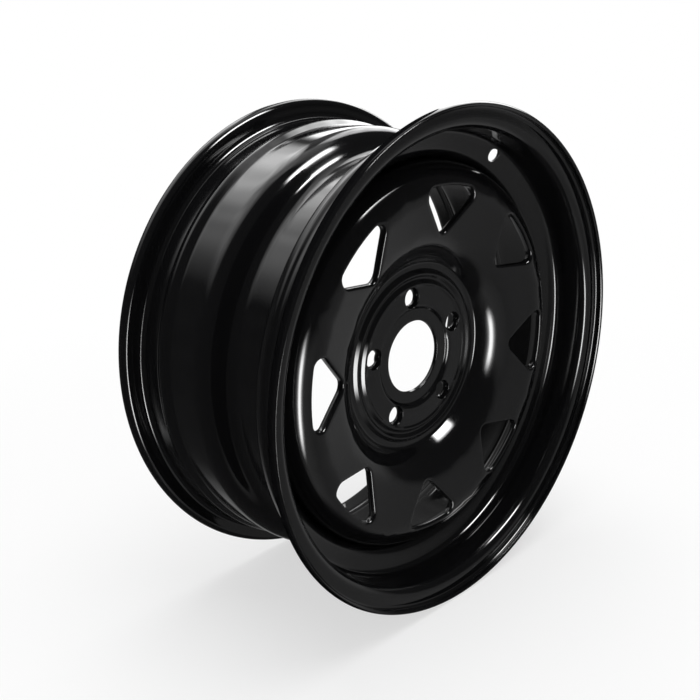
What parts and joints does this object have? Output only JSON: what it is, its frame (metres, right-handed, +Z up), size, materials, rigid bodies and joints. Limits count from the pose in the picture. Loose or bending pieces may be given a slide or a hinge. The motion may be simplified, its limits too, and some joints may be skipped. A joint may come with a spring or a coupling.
{
  "type": "steel wheel rim",
  "caption": "Pressed steel road wheel: a rolled drop-centre rim welded to a dished disc with a centre bore, bolt holes and a ring of rounded windows, painted gloss black.",
  "frame": {"origin": "on the axle, midway between the two flanges", "axes": "+Y along the axle towards the car, the outboard face looks towards -Y, +Z up"},
  "size_m": [0.4401, 0.2002, 0.4402],
  "materials": {
    "black_enamel": "gloss black baked enamel over steel sheet"
  },
  "bodies": {
    "root": {"rim": "black_enamel", "disc": "black_enamel", "welds": "black_enamel"}
  },
  "joints": []
}
